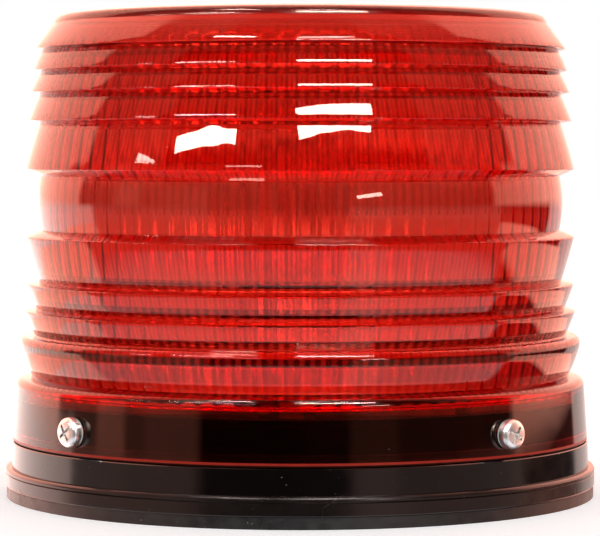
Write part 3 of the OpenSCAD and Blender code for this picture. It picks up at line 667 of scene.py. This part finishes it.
def wound_tape():
    """Yellow polyester tape wound round the coil, its turns showing as level edges."""
    look = Finish("tape", (0.72, 0.46, 0.05), 0.24, scale=250.0, shade=0.12, depth=0.01, dust=0.2)
    edges = look.effect("tool_marks", look.place, pitch=2.3 * MM)["Side"]
    fold = look.math("GREATER_THAN", edges, 0.93)
    look.over(look.times(fold, 0.5), (0.4, 0.22, 0.03))
    look.add_height(edges, 0.02)
    return look.made


# Lens

FLUTES = 90
FLUTE_DEPTH = 0.2
# Each flute has a second wave over it, so that it shows as two lines
DOUBLE_SHARE = 0.5
COLUMNS_PER_FLUTE = 10
# Ring tips and the foot of each ring's face, from the top down: radius, height, in millimetres
UPPER_TIPS = [(67.6, 113.25), (68.0, 107.8), (68.6, 102.25), (69.1, 95.05), (69.85, 82.9)]
UPPER_FEET = [62.8, 65.8, 66.2, 66.4, 66.45]
LOWER_TIPS = [(69.95, 65.85), (69.85, 53.9), (70.3, 47.1)]
LOWER_FEET = [66.7, 67.5, 67.95]
STEP = 0.6
FACE_BULGE = 0.1
# Radius of the round at a ring's tip
UPPER_ROUND, LOWER_ROUND = 0.25, 0.45
# Low ridge inside the wall at the foot of each ring: height from the foot, and rise
RIDGE = [(0.1, 0.0), (0.5, 0.8), (1.2, 1.2), (1.9, 0.8), (2.3, 0.0)]
# Height where the lowest ring's face starts
LOWEST_FOOT = 41.2
# The skirt's lower lip, an opaque ring with a painted red glow: lowest and highest height, and how high the painted
# shadow on its underside reaches
LIP = (14.2, 15.2)
LIP_PAINTED_SHADOW = 0.45
SCREW_DIRECTIONS = [-135, -45, 45, 135]
SCREW_HEIGHT = 20.2
SCREW_HOLE = 2.3
# Distance of the screws' seats from the axis
SCREW_SEAT = 73.85


def bezier(a, b, c, d, steps):
    """Points of a cubic curve, its two ends included."""
    points = []
    for i in range(steps + 1):
        t, s = i / steps, 1 - i / steps
        points.append(tuple(
            s ** 3 * p + 3 * s * s * t * q + 3 * s * t * t * u + t ** 3 * v for p, q, u, v in zip(a, b, c, d)
        ))
    return points


def arc(centre, radius, start, end, steps):
    """Points of an arc, angles in degrees."""
    spokes = [polar(radius, start + (end - start) * i / steps) for i in range(steps + 1)]
    return [(centre[0] + x, centre[1] + y) for x, y in spokes]


def bulged(a, b, bulge, steps):
    """Points between two ends of a face that swells a little outwards, without the ends."""
    (r0, z0), (r1, z1) = a, b
    length = hypot(r1 - r0, z1 - z0)
    out = ((z1 - z0) / length, -(r1 - r0) / length)
    if out[0] < 0:
        out = (-out[0], -out[1])
    points = []
    for t in (i / steps for i in range(1, steps)):
        swell = 4 * bulge * t * (1 - t)
        points.append((r0 + (r1 - r0) * t + out[0] * swell, z0 + (z1 - z0) * t + out[1] * swell))
    return points


def filleted(a, corner, b, radius, steps=3):
    """Points of a small round that replaces a corner."""
    at = Vector(corner)
    to_a, to_b = ((Vector(end) - at).normalized() for end in (a, b))
    half = to_a.angle(to_b) / 2
    back = radius / tan(half)
    centre = at + (to_a + to_b).normalized() * (radius / sin(half))
    first, last = (at + way * back - centre for way in (to_a, to_b))
    turn = atan2(first.x * last.y - first.y * last.x, first.dot(last))
    points = []
    for i in range(steps + 1):
        c, s = cos(turn * i / steps), sin(turn * i / steps)
        points.append((centre.x + c * first.x - s * first.y, centre.y + s * first.x + c * first.y))
    return points


def soften(points, rounds):
    """The outline with its marked corners rounded: rounds maps a point's index to its radius."""
    made = []
    for i, point in enumerate(points):
        made += filleted(points[i - 1], point, points[i + 1], rounds[i]) if i in rounds else [point]
    return made


def lens_top():
    """Height of the top of the lens in millimetres."""
    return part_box("lens")[1].z / MM


def lens_outside():
    """Outline from the skirt's lower edge up to the middle of the top, in millimetres."""
    low_end = [LOWEST_FOOT, LOWER_TIPS[2][1] + STEP, LOWER_TIPS[1][1] + STEP]
    points = [(70.5, LIP[1] + 0.03), (73.35, LIP[1] + 0.03)] + arc((70.5, 28.3), 2, 0, 80, 6)
    points += bezier((68.5, 30.8), (68.9, 31.3), (70.3, 34), (71.45, 38.3), 8)
    points += bezier((71.45, 38.3), (71.45, 39.6), (71.2, 40.4), (70.5, 40.7), 4)[1:]
    points.append((68.1, 40.9))
    rounds = {}
    for foot, tip, start in zip(reversed(LOWER_FEET), reversed(LOWER_TIPS), low_end):
        points += [(foot, start)] + bulged((foot, start), tip, FACE_BULGE, 5)
        rounds[len(points)] = LOWER_ROUND
        points.append(tip)
    band_low, band_high = LOWER_TIPS[0][1] + STEP, UPPER_TIPS[4][1] - STEP
    points += bulged((65.9, band_low - 0.01), (65.9, band_high + 0.01), 1.0, 14)
    starts = [lens_top() - 3.2 + 0.2] + [z - STEP for _, z in UPPER_TIPS[:4]]
    for foot, tip, start in reversed(list(zip(UPPER_FEET, UPPER_TIPS, starts))):
        rounds[len(points)] = UPPER_ROUND
        points += [tip] + bulged(tip, (foot, start), FACE_BULGE, 5) + [(foot, start)]
    points += arc((60.4, lens_top() - 3.2), 2.4, 10, 80, 6)
    points += [(57, lens_top() - 0.35), (30, lens_top() - 0.1)]
    return soften(points, rounds)


def lens_inside():
    """Outline from the middle of the ceiling down to the skirt's inner edge: radius, height, share of flute."""
    ceiling = lens_top() - 3.4
    points = [(30, ceiling, 0), (57, ceiling, 0)]
    points += [(r, z, 0) for r, z in arc((57, ceiling - 6), 6, 75, 30, 3)]
    points += [(63.2, 114.2, 0), (63.4, 113.6, 1)]
    for _, tip in UPPER_TIPS:
        points += [(63.6 - rise, tip - STEP - drop, 1) for drop, rise in RIDGE]
    points += [(63.8, 78, 1), (63.8, 68, 1)]
    for foot in (54.5, 47.7, LOWEST_FOOT):
        wall = 63.9 + (66 - foot) * 0.07
        points += [(wall - rise, foot + climb, 1) for climb, rise in reversed(RIDGE)]
    points += [(66, 28.4, 1), (66.2, 28.0, 0), (66.4, 27.6, 0), (67.3, 27.4, 0), (67.3, 25, 0), (69.2, 25, 0)]
    return points + [(69.2, 27.4, 0), (70.5, 27.0, 0)]


def circle(radius, height, columns):
    """Points round the axis, from sizes in millimetres."""
    points = []
    for k in range(columns):
        angle = 2 * pi * k / columns
        points.append((radius * MM * cos(angle), radius * MM * sin(angle), height * MM))
    return points


def skin(*rings):
    """Faces between each ring of points and the next. A point on the axis is a ring of one point repeated."""
    faces = []
    for low, high in zip(rings, rings[1:]):
        faces += [tuple(dict.fromkeys(four)) for four in zip(low, low[1:] + low[:1], high[1:] + high[:1], high)]
    return faces


def lathe_lens():
    """The lens as one closed mesh, joined at the skirt's edge, with each point's share of the flutes on it."""
    wide = FLUTES * COLUMNS_PER_FLUTE
    narrow = wide // 3
    verts, shares = [], []

    def ring(radius, height, share, columns):
        verts.extend(circle(radius, height, columns))
        shares.extend([float(share)] * columns)
        return list(range(len(verts) - columns, len(verts)))

    outer = [ring(r, z, 0, narrow) for r, z in lens_outside()]
    inner = [ring(*point, wide) for point in lens_inside()]
    top = ring(0, lens_top(), 0, 1) * narrow
    ceiling = ring(0, lens_inside()[0][1], 0, 1) * wide
    faces = skin(*outer) + skin(*inner) + skin(outer[-1], top) + skin(ceiling, inner[0])
    for k in range(narrow):
        a, b, c, d = (inner[-1][(3 * k + i) % wide] for i in range(4))
        near, far = outer[0][k], outer[0][(k + 1) % narrow]
        faces += [(a, b, near), (b, c, far, near), (c, d, far)]
    return new_mesh("lens_start", verts, faces=faces, flute_share=shares)


def lathed(name, outline, columns, finish, turn=None):
    """A closed turned piece from an outline in millimetres whose ends meet, or lie on the axis."""
    verts, rings = [], []
    for r, z in outline:
        if r and rings and (r, z) == outline[0]:
            rings.append(rings[0])
            continue
        points = circle(r, z, columns if r else 1)
        rings.append([len(verts) + k % len(points) for k in range(columns)])
        verts += points
    mesh = new_mesh(name, verts, faces=skin(*rings))
    mesh.materials.append(finish)
    if turn is not None:
        mesh.transform(turn)
    return put(name, mesh)


# Shapes made with Geometry Nodes

def ended(tree, given, geometry):
    """Realizes what a tree made, and sets its material."""
    real = tree.geo("RealizeInstances", {0: geometry})
    return {"Geometry": tree.geo("SetMaterial", {"Geometry": real, "Material": given["Finish"]})}


def shape(name, build, start, finish, **numbers):
    """Runs a tree, built when first needed, on a starting mesh. The result is a plain mesh object."""
    numbers = {as_label(key): value for key, value in numbers.items()}
    inputs = {"Geometry": "Geometry", **numbers, "Finish": "Material"}
    group = bpy.data.node_groups.get(build.__name__)
    group = group or new_group(build, "GeometryNodeTree", inputs, "Geometry")
    carrier = put(name + "_start", start)
    modifier = carrier.modifiers.new("shape", "NODES")
    modifier.node_group = group
    numbers["Finish"] = finish
    for item in group.interface.items_tree:
        if item.in_out == "INPUT" and item.name in numbers:
            modifier[item.identifier] = numbers[item.name]
    evaluated = carrier.evaluated_get(bpy.context.evaluated_depsgraph_get())
    mesh = bpy.data.meshes.new_from_object(evaluated)
    carrier.modifiers.remove(modifier)
    bpy.data.objects.remove(carrier)
    mesh.name = name
    return put(name, mesh)


def points_mesh(points, edges=(), **numbers):
    """A mesh of loose points, or of a path, in millimetres."""
    return new_mesh("points", [tuple(c * MM for c in point) for point in points], edges, **numbers)


def fluted_wall(tree, given):
    """Presses flutes into the wall of the lens and bores its screw holes."""
    place = tree.geo("InputPosition")
    xyz = tree.parts(place)
    angle = tree.math("ARCTAN2", xyz["Y"], xyz["X"])
    flute = tree.times(angle, given["Flutes"])
    double = tree.math("COSINE", tree.times(flute, 2.0))
    wave = tree.scaled(double, given["Double share"], tree.math("COSINE", flute))
    share = tree.geo("InputNamedAttribute", {"Name": "flute_share"})
    push = tree.times(wave, share, tree.times(given["Flute depth"], 0.5))
    offset = tree.give("CombineXYZ", {
        0: tree.times(tree.math("COSINE", angle), push), 1: tree.times(tree.math("SINE", angle), push),
    })
    fluted = tree.geo("SetPosition", {"Geometry": given["Geometry"], "Offset": offset})
    drill = tree.geo("MeshCylinder", {"Vertices": 24, "Radius": given["Hole radius"], "Depth": 12 * MM})
    ring = tree.geo("MeshCircle", {"Vertices": len(SCREW_DIRECTIONS), "Radius": 73 * MM})
    eighth = tree.geo("Transform", {"Geometry": ring, "Rotation": (0, 0, radians(45))})
    outwards = tree.give("FunctionNodeAlignRotationToVector", {"Vector": place}, axis="Z")
    drills = tree.geo("InstanceOnPoints", {"Points": eighth, "Instance": drill, "Rotation": outwards})
    raised = tree.geo("Transform", {
        "Geometry": tree.geo("RealizeInstances", {0: drills}),
        "Translation": tree.give("CombineXYZ", {2: given["Hole height"]}),
    })
    both = {"Mesh 1": fluted, "Mesh 2": raised}
    return ended(tree, given, tree.geo("MeshBoolean", both, operation="DIFFERENCE", solver="MANIFOLD"))


def make_lens():
    """Replaces the plain solid of the lens by the same outline with its flutes."""
    shell = shape("lens_shell", fluted_wall, lathe_lens(), lens_plastic(), flutes=FLUTES,
                  flute_depth=FLUTE_DEPTH * MM, double_share=DOUBLE_SHARE, hole_radius=SCREW_HOLE * MM,
                  hole_height=SCREW_HEIGHT * MM)
    settle(shell, "beacon", 28.0)
    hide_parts("lens")
    # The lip's red is a painted glow, and its lower band a painted shadow
    look = Finish("lens_lip", (0.34, 0.012, 0.004), 0.3, scale=400.0, depth=0.004, dust=0.1,
                  specular_tint=(1, 0.5, 0.4, 1))
    low, high = LIP
    look.over(look.math("LESS_THAN", look.xyz["Z"], (low + LIP_PAINTED_SHADOW) * MM), (0.03, 0.002, 0.001))
    outline = [(70.6, low), (73.0, low), (73.33, low + 0.4), (73.33, high), (70.6, high), (70.6, low)]
    lip = lathed("lens_lip", outline, 300, look.made)
    settle(lip, "beacon", 28.0)
    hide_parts("lens")


# Small pieces of the circuit

BOARD_TOP = 15.6
BOARD_LOW = 14.0
# Place in millimetres and turn in degrees of each part that lies on the board
RESISTORS = [(24, 20, 90), (30, 20, 90), (-21, 2, 0), (-21, -6, 0), (44, -36, 40), (2, 8, 0)]
DIODES = [(-24, 12, 90), (14, -8, 0), (-6, -7, 90), (-8, 12, 90)]
FILM_CAPACITORS = [(-46, -16), (50, -26), (18, 46)]
RESISTOR_SPAN = 11
DIODE_SPAN = 10
# Distance of each colour band from the middle of a resistor, and the bands' colours
BAND_PLACES = [-2.3, -1.2, -0.1, 2.2]
BAND_COLOURS = [(0.16, 0.06, 0.02), (0.02, 0.02, 0.02), (0.75, 0.22, 0.03), (0.6, 0.42, 0.1)]
FUSE_MIDDLE = Vector((52, 13, 20.2)) * MM
TUBE_RADIUS = 2.3


def legs_of(spots, span):
    """Where the bent leads of parts that lie on the board go through it."""
    legs = []
    for x, y, turn in spots:
        c, s = polar(span / 2, turn)
        legs += [(x + c, y + s), (x - c, y - s)]
    return legs


def solder_spots():
    """Every place where a leg comes through the board."""
    spots = legs_of(RESISTORS, RESISTOR_SPAN) + legs_of(DIODES, DIODE_SPAN)
    spots += [(x, y + side * 2.5) for x, y in FILM_CAPACITORS for side in (-1, 1)]
    spots += [(46, -12 + side * 5.5) for side in (-1, 1)]
    spots += [(22 + step, 6) for step in (-1.27, 0, 1.27)]
    spots += [(36 + (i - 1.5) * 2.54, 38 + side * 3.6) for i in range(4) for side in (-1, 1)]
    spots += [(-37.25, 4 + step) for step in (-2.54, 0, 2.54)]
    spots += [polar(13.5, a) for a in (0, 90, 180, 270)]
    return [(x, y, BOARD_LOW) for x, y in spots]


def solder(tree, given):
    """A small cone of solder at every point."""
    cone = tree.geo("MeshCone", {
        "Vertices": 14, "Side Segments": 3, "Radius Top": given["Foot"], "Radius Bottom": given["Tip"],
        "Depth": given["Height"],
    })
    drop = tree.give("CombineXYZ", {2: tree.times(given["Height"], -1.0)})
    lowered = tree.geo("Transform", {"Geometry": cone, "Translation": drop})
    return ended(tree, given, tree.geo("InstanceOnPoints", {"Points": given["Geometry"], "Instance": lowered}))


def painted_bands(tree, given):
    """A thin painted sleeve across the axis at every point, turned with its part."""
    sleeve = tree.geo("MeshCylinder", {"Vertices": 24, "Radius": given["Radius"], "Depth": given["Width"]})
    lying = tree.geo("Transform", {"Geometry": sleeve, "Rotation": (0, radians(90), 0)})
    euler = tree.give("CombineXYZ", {2: tree.geo("InputNamedAttribute", {"Name": "turn"})})
    turned = tree.give("FunctionNodeEulerToRotation", {0: euler})
    bands = tree.geo("InstanceOnPoints", {"Points": given["Geometry"], "Instance": lying, "Rotation": turned})
    return ended(tree, given, bands)


def wire_turns(tree, given):
    """Turns of wire, one above the other."""
    rise = tree.give("CombineXYZ", {2: given["Rise"]})
    stack = tree.geo("MeshLine", {"Count": given["Turns"], "Offset": rise})
    hoop = tree.geo("CurvePrimitiveCircle", {"Resolution": 40, "Radius": given["Radius"]})
    wire = tree.geo("CurvePrimitiveCircle", {"Resolution": 6, "Radius": given["Wire"]})
    turn = tree.geo("CurveToMesh", {"Curve": hoop, "Profile Curve": wire})
    placed = tree.geo("InstanceOnPoints", {"Points": given["Geometry"], "Instance": stack})
    real = tree.geo("RealizeInstances", {0: placed})
    return ended(tree, given, tree.geo("InstanceOnPoints", {"Points": real, "Instance": turn}))


def drawn_rod(tree, given):
    """A round rod or tube drawn along a path."""
    path = tree.geo("MeshToCurve", {0: given["Geometry"]})
    section = tree.geo("CurvePrimitiveCircle", {"Resolution": given["Sides"], "Radius": given["Radius"]})
    rod = tree.geo("CurveToMesh", {"Curve": path, "Profile Curve": section, "Fill Caps": True})
    return ended(tree, given, rod)


def settle(piece, body, smooth=30.0):
    """Shades a new piece, and ties it to its body."""
    piece.data.shade_smooth()
    piece.data.set_sharp_from_angle(angle=radians(smooth))
    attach(piece, body)


def tube_path():
    """The flash tube's middle line in millimetres: up a leg, round the helix, over, and down the axis."""
    radius, rise, turns, middle, foot = 9.5, 6.2, 4, 74.4, 55.0
    low, high = middle - rise * turns / 2, middle + rise * turns / 2
    bend = 4.0
    start = degrees(bend / radius)
    path = [(radius, 0, foot)]
    for i in range(9):
        c, s = polar(bend, 84 * i / 8)
        path.append((*polar(radius, start * (1 - c / bend)), low - bend + s))
    steps = 36
    path += [(*polar(radius, start + 360 * i / steps), low + rise * i / steps) for i in range(1, steps * turns + 1)]
    lean = (*polar(8, start + 90), 1)
    first = (*polar(radius, start), high)
    second = tuple(a + b for a, b in zip(first, lean))
    path += bezier(first, second, (0, 0, high + 6), (0, 0, high - 6), 14)[1:]
    return path + [(0, 0, foot)]


def make_flash_tube(glass):
    """Replaces the coarse solid of the flash tube by the same path drawn smoothly."""
    path = tube_path()
    edges = [(i, i + 1) for i in range(len(path) - 1)]
    piece = shape("flash_helix", drawn_rod, points_mesh(path, edges), glass, radius=TUBE_RADIUS * MM, sides=20)
    settle(piece, "flash_lamp")
    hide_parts("flash_tube")


def make_fuse(glass):
    """The glass fuse: a tube, the wire in it and its two plated ends."""
    plated = turned_metal("fuse_plating", (0.72, 0.71, 0.68), 0.2, 0.3)
    lay = Matrix.Translation(FUSE_MIDDLE) @ Matrix.Rotation(radians(90), 4, "X")
    tube = [(2.33, -4.9), (2.33, 4.9), (1.75, 4.8), (1.75, -4.8), (2.33, -4.9)]
    wire = [(0, -4.9), (0.12, -4.9), (0.12, 4.9), (0, 4.9)]
    end = [(0, 4.8), (2.35, 4.8), (2.58, 5.0), (2.6, 5.2), (2.6, 9.2), (2.35, 9.6), (1.6, 9.75), (0, 9.8)]
    other_way = lay @ Matrix.Rotation(radians(180), 4, "X")
    for name, outline, columns, finish, turn in (
        ("fuse_tube", tube, 32, glass, lay),
        ("fuse_end_near", end, 32, plated, other_way),
        ("fuse_end_far", end, 32, plated, lay),
        ("fuse_wire", wire, 8, plated, lay),
    ):
        piece = lathed(name, outline, columns, finish, turn)
        settle(piece, "beacon")
        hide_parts("fuse")


def make_small_pieces(copper):
    """Solder, painted bands and the turns of the trigger coil."""
    tin = Finish("solder_tin", (0.62, 0.62, 0.6), 0.3, scale=800.0, depth=0.01, dust=0.1, metallic=1.0).made
    joints = shape("solder_joints", solder, points_mesh(solder_spots()), tin, foot=1.1 * MM, tip=0.4 * MM,
                   height=0.8 * MM)
    settle(joints, "beacon")

    def ring_parts(name, parts, along, rise, paint, radius, width):
        spots = []
        for x, y, turn in parts:
            c, s = polar(along, turn)
            spots.append((x + c, y + s, BOARD_TOP + rise))
        start = points_mesh(spots, turn=[radians(turn) for _, _, turn in parts])
        settle(shape(name, painted_bands, start, paint, radius=radius * MM, width=width * MM), "beacon")

    for i, (along, colour) in enumerate(zip(BAND_PLACES, BAND_COLOURS)):
        paint = Finish(f"band_paint_{i + 1}", colour, 0.35, scale=900.0, depth=0.005, dust=0.1).made
        ring_parts(f"resistor_bands_{i + 1}", RESISTORS, along, 1.5, paint, 1.23, 0.6)
    silver = Finish("diode_silver", (0.6, 0.6, 0.6), 0.3, scale=900.0, depth=0.005, dust=0.1, metallic=0.8).made
    ring_parts("diode_rings", DIODES, 1.7, 1.65, silver, 1.38, 0.7)
    coil = shape("coil_turns", wire_turns, points_mesh([(34, 2, BOARD_TOP + 2.5)]), copper, turns=26,
                 radius=5.85 * MM, wire=0.21 * MM, rise=0.42 * MM)
    settle(coil, "beacon", 60.0)


# Dressing

def dress_nodes(glass):
    """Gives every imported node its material."""
    moulding = Finish("black_moulding", (0.02, 0.02, 0.021), 0.4, scale=400.0, depth=0.015, dust=0.3).made
    ferrite = Finish("ferrite", (0.045, 0.045, 0.05), 0.5, scale=1100.0, shade=0.4, dust=0.2).made
    # Milky nylon, with a slight glow in its thickness
    nylon = Finish("nylon", (0.74, 0.72, 0.66), 0.38, scale=300.0, shade=0.05, depth=0.01, dust=0.2,
                   subsurface_weight=0.2, subsurface_scale=0.6 * MM).made
    # White stoved enamel, with a faint orange peel, its colour darkened to grey as painted shade
    shaded_enamel = Finish("white_enamel_painted_shade", (0.52, 0.52, 0.5), 0.5, scale=120.0, shade=0.03, spread=0.1, dust=0.2).made
    looks = {}
    for look, names in (
        (base_plastic(), "base_housing"),
        (rubber(), "mounting_gasket cable_grommet vent_plug lens_gasket"),
        (turned_metal("brass", (0.66, 0.47, 0.17), 0.24, 0.35),
         "mount_inserts screw_inserts plate_standoffs socket_contacts fuse_clips plug_pins"),
        # Plain red for the solid that the fluted lens replaces
        (material("lens_solid", (0.5, 0.02, 0.02), roughness=0.2)[0], "lens"),
        (board_green(), "circuit_board"),
        (screw_steel("zinc_plate"), "board_screws transistor_screw terminal_screws plate_screws socket_screws"),
        (ferrite, "transformer_core"),
        (moulding, "transformer_bobbin tube_socket tube_plug"),
        (wound_tape(), "transformer_winding"),
        (extruded_aluminium(), "heat_sink"),
        (transistor_black(), "power_transistor"),
        (leaded("ferrite_stub", (0.05, 0.05, 0.055), 0.45, 0.0), "trigger_coil"),
        (leaded("orange_box", (0.62, 0.16, 0.02), 0.22, 15.85, 250.0), "trigger_capacitor"),
        (leaded("blue_box", (0.02, 0.09, 0.34), 0.22, 15.85, 250.0), "film_capacitors"),
        (leaded("thyristor", (0.03, 0.03, 0.032), 0.45, 18.55), "trigger_thyristor"),
        (leaded("timer_chip", (0.028, 0.028, 0.03), 0.42, 16.55), "timer_chip"),
        (leaded("resistor_body", (0.56, 0.41, 0.22), 0.36, 15.85), "resistors"),
        (leaded("diode_body", (0.02, 0.02, 0.02), 0.3, 15.85), "diodes"),
        (Finish("terminal_green", (0.02, 0.22, 0.09), 0.36, scale=350.0, depth=0.012).made, "terminal_block"),
        (shaded_enamel, "reflector_plate"),
        (Finish("lead_sleeve", (0.42, 0.015, 0.012), 0.34, depth=0.008).made, "socket_leads"),
        (glass, "flash_tube glass_dome fuse"),
        (turned_metal("nickel_wire", (0.66, 0.64, 0.6), 0.22, 0.5), "tube_end_caps trigger_wire"),
        (capacitor_sleeve(), "storage_capacitor_1 storage_capacitor_2"),
        (nylon, "screw_washer_1 screw_washer_2 screw_washer_3 screw_washer_4"),
    ):
        looks.update(dict.fromkeys(names.split(), look))
    for i, direction in enumerate(SCREW_DIRECTIONS):
        seat = (*polar(SCREW_SEAT * MM, direction), SCREW_HEIGHT * MM)
        looks[f"lens_screw_{i + 1}"] = screw_steel(f"screw_plate_{i + 1}", direction, seat)
    for name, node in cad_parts.items():
        node.data.materials.clear()
        node.data.materials.append(looks[name])


make_camera()
make_world()
for lamp_name, lamp in LAMPS.items():
    make_lamp(lamp_name, *lamp)
make_effects()
make_floor()
make_lens()
lamp_glass = clear_glass()
dress_nodes(lamp_glass)
make_flash_tube(lamp_glass)
make_fuse(lamp_glass)
make_small_pieces(turned_metal("lacquered_copper", (0.42, 0.13, 0.04), 0.25, 0.42))

bpy.context.scene.view_settings.view_transform = "Standard"
bpy.context.scene.cycles.max_bounces = 24
bpy.context.scene.cycles.transmission_bounces = 24
bpy.context.scene.cycles.glossy_bounces = 8
